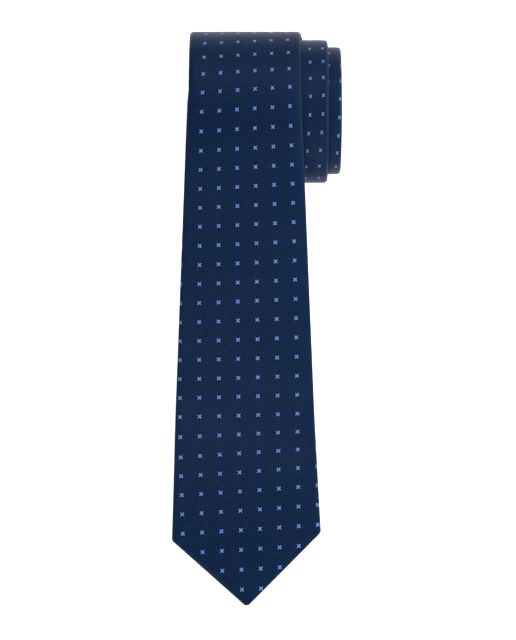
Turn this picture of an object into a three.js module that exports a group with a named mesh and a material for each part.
// A gentleman's necktie, rolled up from its tail and lying on a table with the blade out in front.
// X is across the tie, +Y runs from the blade's point towards the roll, +Z is up. Millimetres.
// Every piece is modelled as a flat strip and then bent along the side view of the rolled tie.
import * as THREE from "three";

// ---- driving dimensions -------------------------------------------------------------------
const TIE_LENGTH = 1450; // point of the blade to point of the tail
const BLADE_WIDTH = 75; // between the blade's corners
const TAIL_WIDTH = 42; // between the tail's corners
const NECK_WIDTH = 36; // round the collar
const CREST_WIDTH = 53.8; // held where the blade goes over the roll
const CREST_START = 261; // from the blade's point
const CREST_END = 310;
const NECK_START = 450; // where the neck's width begins
const TAIL_TAPER = 300; // from the tail's corners to where its width is the neck's
const POINT_HALF_ANGLE = 46.5; // degrees, of each pointed end
const POINT_FLAT = 4; // width of the blunt end of each point
const POINT_SKEW = 0.055; // the blade's point is turned by this much, rise over run
const SKEW_FADE = 30; // length over which that turn dies out above the bar tack

const SHELL = 0.35; // jacquard silk
const LINING = 0.2; // tipping fabric
const INTERLINING = 0.6; // wool felt
const PLY_GAP = 0.15; // between plies
const WINDING_GAP = 0.3; // between one turn of the roll and the next
const END_GAP = 0.4; // between the ends of two lengths of one ply
const JOIN_GAP = 1.2; // where two shell pieces are seamed, with the seam's thread between
const SEAM_SLOT = 0.8; // half the opening between the back flaps, which the slip stitch closes
const THREAD = 0.9; // width of the slip stitch
const HEM = 8.7; // shell turned over each pointed edge, measured across the tie
const BLADE_TACK = 104; // bar tack to point, on the blade
const TAIL_TACK = 62; // bar tack to point, on the tail

const CORE_HEIGHT = 25; // opening left in the middle of the roll, along Y
const CORE_DEPTH = 11; // and along Z
const LOOSE_TURNS = 2; // the outer turns stand off at the two ends of the roll
const LOOSE_STEP = 1.9; // by this much more for each turn
const BLADE_EDGE = 20.6; // right edge of the blade on the roll, from the frame's middle
const SECOND_EDGE = 33.8; // right edge of the second turn
const THIRD_EDGE = 40.2; // right edge of the third turn and those inside it
const NECK_TURNS = 2.5; // turns of the roll that the neck piece fills

const RAMP_ANGLE = 16; // degrees, of the blade between the roll and the table
const SHOULDER_RADIUS = 80; // bend where the blade leaves the roll
const LANDING_RADIUS = 170; // bend where it comes down on the table
const BLADE_ON_TABLE = 28; // length that lies flat

const LIFT_SETBACK = 8; // the blade lifts off this far before the top of the roll
const LABEL_CLEARANCE = 0.3; // between the label's stitches and the second turn below them
const FOLD_CLEARANCE = 10; // between a fold line and the nearest trim

const KEEPER_SPACING = 5; // between the keeper loop and the label
const KEEPER_HEIGHT = 12;
const KEEPER_SPAN = 50;
const KEEPER_END = 3.2; // length sewn down at each side
const KEEPER_PLY = 0.6;
const KEEPER_ROOM = 3.6; // space under the band for the tail
const KEEPER_BENDS = 12;
const LABEL_HEIGHT = 20;
const LABEL_WIDTH = 38;
const LABEL_PLY = 0.3;
const CARE_FROM_POINT = 152; // its sewn edge
const CARE_LENGTH = 26;
const CARE_WIDTH = 18;
const CARE_DROOP = 10; // degrees, of its free end away from the blade
const STITCH = 0.5; // thickness of a sewn line
const STITCH_WIDTH = 0.9;
const TACK_WIDTH = 7;
const TACK_LENGTH = 1.6;
const TRIM_GAP = 0.3; // between a trim and what it is sewn to

const STATIONS = 24; // sections in one turn of the roll
const POINT_STATIONS = 2; // and so many times more in the tail's point, where the roll is tightest
const RAMP_BENDS = 6; // steps in each bend of the ramp
const HANDOVER = 15.5 / STATIONS; // where one turn hands over to the next, below the roll
const SMOOTH = 30; // finer steps between two stations, for lengths

// ---- sizes that follow --------------------------------------------------------------------
const THICKNESS = 2 * SHELL + INTERLINING + LINING + 3 * PLY_GAP;
const FRONT = THICKNESS / 2;
const TURN_PITCH = THICKNESS + WINDING_GAP;
const POINT_SLOPE = Math.tan(THREE.MathUtils.degToRad(POINT_HALF_ANGLE));
const RAMP = THREE.MathUtils.degToRad(RAMP_ANGLE);
const BLADE_CORNER = BLADE_WIDTH / 2 / POINT_SLOPE;
const TAIL_CORNER = TAIL_WIDTH / 2 / POINT_SLOPE;
const POINT_CUT = POINT_FLAT / 2 / POINT_SLOPE;
const POINT_INSIDE = POINT_CUT + 2 * (SHELL + PLY_GAP); // where the inner plies stop
const TIPPING_START = TIE_LENGTH - TAIL_TACK - TACK_WIDTH; // of the tail's

const smooth = (value, from, to) => THREE.MathUtils.smoothstep(value, from, to);

// ---- side view: the blade's ramp and the roll ------------------------------------------------
// A turn shrinks by one pitch, none of it at the bottom, so the roll has a level foot.
const shrink = (turn) => turn + Math.sin(2 * Math.PI * turn) / (2 * Math.PI);

// A point of the mid-surface from the roll's centre, for a roll of so many turns in all.
function rollPoint(turn, turns) {
  const left = shrink(turns) - shrink(turn);
  const loose = LOOSE_STEP * Math.max(0, Math.min(turns, LOOSE_TURNS) - shrink(turn));
  const halfHeight = CORE_HEIGHT / 2 + FRONT + TURN_PITCH * left + loose;
  const halfDepth = CORE_DEPTH / 2 + FRONT + TURN_PITCH * left;
  const angle = Math.PI / 2 - 2 * Math.PI * turn;
  return new THREE.Vector2(halfHeight * Math.cos(angle), halfDepth * Math.sin(angle));
}

function rollNormal(turn, turns) {
  const step = 1e-4;
  const along = rollPoint(turn + step, turns).sub(rollPoint(turn - step, turns)).normalize();
  return new THREE.Vector2(-along.y, along.x);
}

function rollLength(from, to, turns) {
  const steps = Math.max(1, Math.round((to - from) * STATIONS * SMOOTH));
  let length = 0;
  for (let i = 0; i < steps; i++) {
    const a = rollPoint(from + ((to - from) * i) / steps, turns);
    length += a.distanceTo(rollPoint(from + ((to - from) * (i + 1)) / steps, turns));
  }
  return length;
}

// The height of the roll's centre that puts its level foot on the table.
function centreHeight(turns) {
  const foot = 0.5 - 0.5 / STATIONS;
  return -(rollPoint(foot, turns).y + rollNormal(foot, turns).y * FRONT);
}

function rampOf(turns) {
  const drop = centreHeight(turns) + rollPoint(0, turns).y - FRONT;
  const bends = SHOULDER_RADIUS + LANDING_RADIUS;
  const straight = (drop - bends * (1 - Math.cos(RAMP))) / Math.sin(RAMP);
  return {
    drop,
    straight,
    length: BLADE_ON_TABLE + bends * RAMP + straight,
    reach: BLADE_ON_TABLE + bends * Math.sin(RAMP) + straight * Math.cos(RAMP),
  };
}

// The number of turns that takes up the whole tie, by halving an interval.
function countTurns() {
  let few = LOOSE_TURNS + NECK_TURNS;
  let many = 40;
  for (let i = 0; i < 50; i++) {
    const middle = (few + many) / 2;
    const made = rampOf(middle).length + rollLength(0, middle, middle);
    if (made < TIE_LENGTH) few = middle;
    else many = middle;
  }
  return few;
}

const TURNS = countTurns();
const ramp = rampOf(TURNS);
const ROLL_Y = ramp.reach;
const ROLL_Z = centreHeight(TURNS);

// Lengths from the blade's point to each fine step of the roll.
const rollSteps = [ramp.length];
for (let i = 0; i < Math.ceil(TURNS * STATIONS * SMOOTH); i++) {
  const turn = i / (STATIONS * SMOOTH);
  rollSteps.push(rollSteps[i] + rollLength(turn, turn + 1 / (STATIONS * SMOOTH), TURNS));
}

function turnAt(length) {
  let i = 0;
  while (i < rollSteps.length - 2 && rollSteps[i + 1] < length) i++;
  return (i + (length - rollSteps[i]) / (rollSteps[i + 1] - rollSteps[i])) / (STATIONS * SMOOTH);
}

function lengthAt(turn) {
  const step = turn * STATIONS * SMOOTH;
  const i = Math.min(Math.floor(step), rollSteps.length - 2);
  return rollSteps[i] + (step - i) * (rollSteps[i + 1] - rollSteps[i]);
}

// Mid-surface and outward normal, as { y, z, ny, nz }, at a length from the blade's point.
function sideView(length) {
  if (length >= ramp.length) {
    const turn = turnAt(length);
    const point = rollPoint(turn, TURNS);
    const normal = rollNormal(turn, TURNS);
    return { y: ROLL_Y + point.x, z: ROLL_Z + point.y, ny: normal.x, nz: normal.y };
  }
  const beforeLanding = length - BLADE_ON_TABLE;
  const landing = THREE.MathUtils.clamp(beforeLanding / LANDING_RADIUS, 0, RAMP);
  const straight = THREE.MathUtils.clamp(beforeLanding - LANDING_RADIUS * RAMP, 0, ramp.straight);
  const shoulder = THREE.MathUtils.clamp((ramp.length - length) / SHOULDER_RADIUS, 0, RAMP);
  const bent = RAMP - shoulder;
  const slope = landing - bent;
  const y =
    Math.min(length, BLADE_ON_TABLE) +
    LANDING_RADIUS * Math.sin(landing) +
    straight * Math.cos(RAMP) +
    SHOULDER_RADIUS * (Math.sin(RAMP) - Math.sin(shoulder)) * (landing < RAMP ? 0 : 1);
  const z =
    FRONT +
    LANDING_RADIUS * (1 - Math.cos(landing)) +
    straight * Math.sin(RAMP) +
    SHOULDER_RADIUS * (Math.cos(shoulder) - Math.cos(RAMP)) * (landing < RAMP ? 0 : 1);
  return { y, z, ny: -Math.sin(slope), nz: Math.cos(slope) };
}

// ---- plan view: width and place across --------------------------------------------------------
function widthAt(length) {
  const fromTail = TIE_LENGTH - length;
  const narrow = (from, to) => THREE.MathUtils.clamp((length - from) / (to - from), 0, 1);
  const toCrest = (BLADE_WIDTH - CREST_WIDTH) * narrow(BLADE_CORNER, CREST_START);
  const toNeck = (CREST_WIDTH - NECK_WIDTH) * narrow(CREST_END, NECK_START);
  const blade = BLADE_WIDTH - toCrest - toNeck;
  const tail = TAIL_WIDTH - ((TAIL_WIDTH - NECK_WIDTH) * (fromTail - TAIL_CORNER)) / TAIL_TAPER;
  const body = Math.max(blade, tail, NECK_WIDTH);
  return Math.min(body, 2 * POINT_SLOPE * length, 2 * POINT_SLOPE * fromTail);
}

const middleAtRoll = BLADE_EDGE - widthAt(ramp.length) / 2;

function middleAt(length) {
  if (length < ramp.length) return middleAtRoll;
  const turn = turnAt(length);
  const edge =
    BLADE_EDGE +
    (SECOND_EDGE - BLADE_EDGE) * smooth(turn, 0.2, 0.7) +
    (THIRD_EDGE - SECOND_EDGE) * smooth(turn, 1.2, 1.7);
  const width = fullWidthAt(length);
  return edge - width / 2;
}

// The width without the tail's point, so that the point stays in the middle of the tail.
function fullWidthAt(length) {
  return length > TIE_LENGTH - TAIL_CORNER ? TAIL_WIDTH : widthAt(length);
}

// Half the opening between the back flaps: closed above a bar tack, and a long V below it.
function slotAt(length) {
  const blade = vee(length, BLADE_CORNER, BLADE_TACK);
  const tail = vee(TIE_LENGTH - length, TAIL_CORNER, TAIL_TACK);
  return Math.max(SEAM_SLOT, Math.min(Math.max(blade, tail), widthAt(length) / 2 - HEM));
}

function vee(fromPoint, corner, tack) {
  const open = (fromPoint < corner ? corner : fromPoint) - tack;
  const widest = (fromPoint > 0 ? widthAt(corner) : 0) / 2 - HEM;
  return open < 0 ? (widest * open) / (corner - tack) : 0;
}

const skewAt = (length) => POINT_SKEW * (1 - smooth(length, BLADE_TACK - SKEW_FADE, BLADE_TACK));

// ---- bending a flat strip along the tie ---------------------------------------------------------
const FLAT_HALF = 30; // half width of a flat strip before it is bent
const FLAT_LENGTH = 1; // and its length

// The lengths at which a strip has a section: its two ends and, between them, every station of
// the roll, the steps of the ramp's two bends, and the corners and bar tacks of both points.
function sectionsBetween(from, to) {
  const marks = [POINT_INSIDE, BLADE_CORNER, BLADE_TACK];
  marks.push(TIPPING_START, TIE_LENGTH - TAIL_TACK, TIE_LENGTH - TAIL_CORNER, TIE_LENGTH - POINT_INSIDE);
  for (let i = 0; i <= RAMP_BENDS; i++) {
    marks.push(BLADE_ON_TABLE + (LANDING_RADIUS * RAMP * i) / RAMP_BENDS);
    marks.push(ramp.length - (SHOULDER_RADIUS * RAMP * i) / RAMP_BENDS);
  }
  let turn = 0.5 / STATIONS;
  while (turn < TURNS) {
    const length = lengthAt(turn);
    marks.push(length);
    const closer = length > TIE_LENGTH - 2 * TAIL_CORNER ? POINT_STATIONS : 1;
    turn += 1 / STATIONS / closer;
  }
  const least = 0.6; // closer sections than this are one
  const inside = marks.filter((m) => m > from + least && m < to - least).sort((a, b) => a - b);
  const kept = inside.filter((m, i) => i === 0 || m - inside[i - 1] > least);
  return [from, ...kept, to];
}

// The section that a vertex of a flat strip belongs to. The strip's z runs back towards the
// blade's point, which keeps the bent strip's faces outwards.
function sectionOf(position, i, sections) {
  return sections[Math.round((1 - position.getZ(i) / FLAT_LENGTH) * (sections.length - 1))];
}

// Bends a ply along the tie. In the flat, x runs across and y towards the front. An x near the
// fold keeps its distance from the fold, and one in the middle is set by the back opening.
function bendPly(flat, sections) {
  const position = flat.getAttribute("position");
  for (let i = 0; i < position.count; i++) {
    const length = sectionOf(position, i, sections);
    const across = position.getX(i);
    const reach = Math.abs(across);
    const fromFold = FLAT_HALF - reach;
    const half = fromFold > reach ? slotAt(length) : widthAt(length) / 2 - fromFold;
    placeVertex(position, i, Math.sign(across) * half, position.getY(i), length);
  }
  return flat;
}

// Bends a piece that keeps its own width, such as a label sewn on the back.
function bendTrim(flat, sections) {
  const position = flat.getAttribute("position");
  for (let i = 0; i < position.count; i++) {
    const length = sectionOf(position, i, sections);
    placeVertex(position, i, position.getX(i), position.getY(i), length);
  }
  return flat;
}

function placeVertex(position, i, across, out, length) {
  const at = length + skewAt(length) * across;
  const view = sideView(at);
  position.setXYZ(i, middleAt(length) + across, view.y + out * view.ny, view.z + out * view.nz);
}

// A flat strip with one section for each length that it is bent to.
const strip = (shape, sections) =>
  new THREE.ExtrudeGeometry(shape, {
    depth: FLAT_LENGTH,
    steps: sections.length - 1,
    bevelEnabled: false,
  });

function rectangle(left, right, low, high) {
  return new THREE.Shape([
    new THREE.Vector2(left, low),
    new THREE.Vector2(right, low),
    new THREE.Vector2(right, high),
    new THREE.Vector2(left, high),
  ]);
}

// ---- materials ----------------------------------------------------------------------------------
const material = (color, roughness) => new THREE.MeshStandardMaterial({ color, roughness, metalness: 0 });
const silk = material(0x1a2c50, 0.45);
const felt = material(0xd8d4c8, 0.95);
const satin = material(0x14203c, 0.35);
const thread = material(0x1c2c54, 0.6);
const labelCloth = material(0x10182c, 0.5);
const careCloth = material(0xe8e8e4, 0.55);

const tie = new THREE.Group();

function add(name, geometry, finish, parent = tie) {
  const mesh = new THREE.Mesh(geometry, finish);
  mesh.name = name;
  parent.add(mesh);
  return mesh;
}

// ---- the plies: shell, interlining, tipping and slip stitch ----------------------------------------
// The shell in section: the front, two folded edges and two flaps that meet at the back.
function shellSection() {
  const edge = FLAT_HALF;
  const inner = edge - SHELL;
  const front = FRONT - SHELL;
  const points = [
    [-edge, FRONT],
    [-edge, -FRONT],
    [-SEAM_SLOT, -FRONT],
    [-SEAM_SLOT, -front],
    [-inner, -front],
    [-inner, front],
    [inner, front],
    [inner, -front],
    [SEAM_SLOT, -front],
    [SEAM_SLOT, -FRONT],
    [edge, -FRONT],
    [edge, FRONT],
  ];
  return new THREE.Shape(points.map(([x, y]) => new THREE.Vector2(x, y)));
}

function addShell(name, from, to) {
  const sections = sectionsBetween(from, to);
  add(name, bendPly(strip(shellSection(), sections), sections), silk);
}

// A ply that fills the shell from fold to fold, between two levels.
function addPly(name, from, to, low, high, finish) {
  const sections = sectionsBetween(from, to);
  const half = FLAT_HALF - SHELL - PLY_GAP;
  add(name, bendPly(strip(rectangle(-half, half, low, high), sections), sections), finish);
}

const FELT_TOP = FRONT - SHELL - PLY_GAP;
const FELT_LOW = FELT_TOP - INTERLINING;
const LINING_TOP = FELT_LOW - PLY_GAP;

const addFelt = (name, from, to) => addPly(name, from, to, FELT_LOW, FELT_TOP, felt);
const addTipping = (name, from, to) =>
  addPly(name, from, to, LINING_TOP - LINING, LINING_TOP, satin);

function addSlipStitch(name, from, to) {
  const sections = sectionsBetween(from, to);
  const half = THREAD / 2;
  const line = rectangle(-half, half, -FRONT, -FRONT + SHELL);
  add(name, bendTrim(strip(line, sections), sections), thread);
}

// The shortest way down the ramp at which a trim this deep on the back clears the second turn.
function setbackFor(depth) {
  const second = [];
  for (let turn = 0.75; turn < 1; turn += 0.1 / STATIONS) second.push(sideView(lengthAt(turn)));
  const step = 0.5;
  let setback = 0;
  let clear = false;
  while (!clear) {
    setback += step;
    const view = sideView(ramp.length - setback);
    const y = view.y - (FRONT + depth) * view.ny;
    const z = view.z - (FRONT + depth) * view.nz;
    clear = second.every((p) => Math.hypot(p.y - y, p.z - z) > FRONT + LABEL_CLEARANCE);
  }
  return setback;
}

const LABEL_DEPTH = TRIM_GAP + LABEL_PLY + TRIM_GAP + STITCH;
const LABEL_SETBACK = setbackFor(LABEL_DEPTH);
const LABEL_START = ramp.length - LABEL_SETBACK - LABEL_HEIGHT;
const KEEPER_START = LABEL_START - KEEPER_SPACING - KEEPER_HEIGHT;
const LIFT_LINE = ramp.length - LIFT_SETBACK;
const BLADE_FOLD = KEEPER_START - FOLD_CLEARANCE;
const TIP_FOLD = BLADE_TACK + FOLD_CLEARANCE;
const OUTER_END = lengthAt(HANDOVER);
const MIDDLE_END = lengthAt(1 + HANDOVER);
const NECK_END = lengthAt(1 + HANDOVER + NECK_TURNS);
const half = END_GAP / 2;
const join = JOIN_GAP / 2;

const lengths = [
  { part: "blade_tip", from: POINT_CUT, to: TIP_FOLD - half },
  { part: "blade_middle", from: TIP_FOLD + half, to: BLADE_FOLD - half },
  { part: "blade_upper", from: BLADE_FOLD + half, to: LIFT_LINE - half },
  { part: "outer_turn", from: LIFT_LINE + half, to: OUTER_END - half },
  { part: "middle_turn", from: OUTER_END + half, to: MIDDLE_END - join },
  { part: "neck", from: MIDDLE_END + join, to: NECK_END - join },
  { part: "tail", from: NECK_END + join, to: TIE_LENGTH - POINT_CUT },
];
for (const { part, from, to } of lengths) {
  addShell(`${part}_shell`, from, to);
  const feltFrom = part === "blade_tip" ? POINT_INSIDE : from;
  const feltTo = part === "tail" ? TIE_LENGTH - POINT_INSIDE : to;
  addFelt(`${part}_interlining`, feltFrom, feltTo);
  const sewnFrom = part === "blade_tip" ? BLADE_TACK : from;
  const sewnTo = part === "tail" ? TIE_LENGTH - TAIL_TACK : to;
  addSlipStitch(`${part}_slip_stitch`, sewnFrom, sewnTo);
}
addTipping("blade_tipping", POINT_INSIDE, TIP_FOLD - half);
addTipping("tail_tipping", TIPPING_START, TIE_LENGTH - POINT_INSIDE);

// ---- thread of the two join seams ------------------------------------------------------------------
function addJoinThread(name, at) {
  const reach = STITCH / 2;
  const wide = widthAt(at) / 2 - SHELL;
  const line = rectangle(-wide, wide, FRONT - SHELL, FRONT);
  const sections = [at - reach, at + reach];
  add(name, bendTrim(strip(line, sections), sections), thread);
}
addJoinThread("blade_to_neck_seam", MIDDLE_END);
addJoinThread("neck_to_tail_seam", NECK_END);

// ---- trims on the back -----------------------------------------------------------------------------
const BACK = -FRONT - TRIM_GAP; // level of the face next to the back flaps

// A band that is sewn down at both ends and stands off the back between them.
function keeperSection() {
  const reach = KEEPER_SPAN / 2;
  const open = reach - KEEPER_END;
  const near = [];
  const far = [];
  for (let i = 0; i <= KEEPER_BENDS; i++) {
    const x = -open + (2 * open * i) / KEEPER_BENDS;
    const stand = KEEPER_ROOM * (1 - (x / open) ** 4);
    near.push(new THREE.Vector2(x, BACK - stand));
    far.unshift(new THREE.Vector2(x, BACK - stand - KEEPER_PLY));
  }
  const corners = [
    new THREE.Vector2(-reach, BACK),
    ...near,
    new THREE.Vector2(reach, BACK),
    new THREE.Vector2(reach, BACK - KEEPER_PLY),
    ...far,
    new THREE.Vector2(-reach, BACK - KEEPER_PLY),
  ];
  return new THREE.Shape(corners);
}

function addTrim(name, shape, from, length, finish) {
  const sections = sectionsBetween(from, from + length);
  add(name, bendTrim(strip(shape, sections), sections), finish);
}

function addSewnLines(name, across, level, from, length) {
  const outside = level - TRIM_GAP;
  for (const [side, sign] of [["left", -1], ["right", 1]]) {
    const near = sign * across - STITCH_WIDTH / 2;
    const line = rectangle(near, near + STITCH_WIDTH, outside - STITCH, outside);
    addTrim(`${name}_${side}`, line, from, length, thread);
  }
}

addTrim("keeper_loop", keeperSection(), KEEPER_START, KEEPER_HEIGHT, silk);
const keeperSewn = (KEEPER_SPAN - KEEPER_END) / 2;
addSewnLines("keeper_stitch", keeperSewn, BACK - KEEPER_PLY, KEEPER_START, KEEPER_HEIGHT);

const labelHalf = LABEL_WIDTH / 2;
const labelShape = rectangle(-labelHalf, labelHalf, BACK - LABEL_PLY, BACK);
addTrim("maker_label", labelShape, LABEL_START, LABEL_HEIGHT, labelCloth);
addSewnLines("label_stitch", labelHalf - STITCH_WIDTH, BACK - LABEL_PLY, LABEL_START, LABEL_HEIGHT);

// A trim that is straight along the tie, in a group that stands on the back at one length, or off
// it by `standOff`.
function onBack(length, standOff = 0, droop = 0) {
  const view = sideView(length);
  const level = BACK - standOff;
  const group = new THREE.Group();
  group.position.set(middleAt(length), view.y + level * view.ny, view.z + level * view.nz);
  group.rotation.x = Math.atan2(-view.ny, view.nz) + THREE.MathUtils.degToRad(droop);
  tie.add(group);
  return group;
}

// The care label hangs from below its stitch, so that it can swing right over it.
const careHang = STITCH + TRIM_GAP + LABEL_PLY / 2;
const care = add(
  "care_label",
  new THREE.BoxGeometry(CARE_WIDTH, CARE_LENGTH, LABEL_PLY),
  careCloth,
  onBack(CARE_FROM_POINT, careHang, CARE_DROOP),
);
care.position.y = -CARE_LENGTH / 2;
const careStitch = add(
  "care_label_stitch",
  new THREE.BoxGeometry(CARE_WIDTH, STITCH_WIDTH, STITCH),
  thread,
  onBack(CARE_FROM_POINT),
);
careStitch.position.set(0, TRIM_GAP + STITCH_WIDTH / 2, -STITCH / 2);

for (const [name, length] of [["blade_bar_tack", BLADE_TACK], ["tail_bar_tack", TIE_LENGTH - TAIL_TACK]]) {
  const tack = new THREE.BoxGeometry(TACK_WIDTH, TACK_LENGTH, STITCH);
  add(name, tack, thread, onBack(length)).position.z = -STITCH / 2;
}

// ---- origin: middle of the footprint, on the table ---------------------------------------------------
tie.updateMatrixWorld(true);
const footprint = new THREE.Box3().setFromObject(tie, true);
const centre = footprint.getCenter(new THREE.Vector3());
tie.position.set(-centre.x, -centre.y, -footprint.min.z);

export default tie;
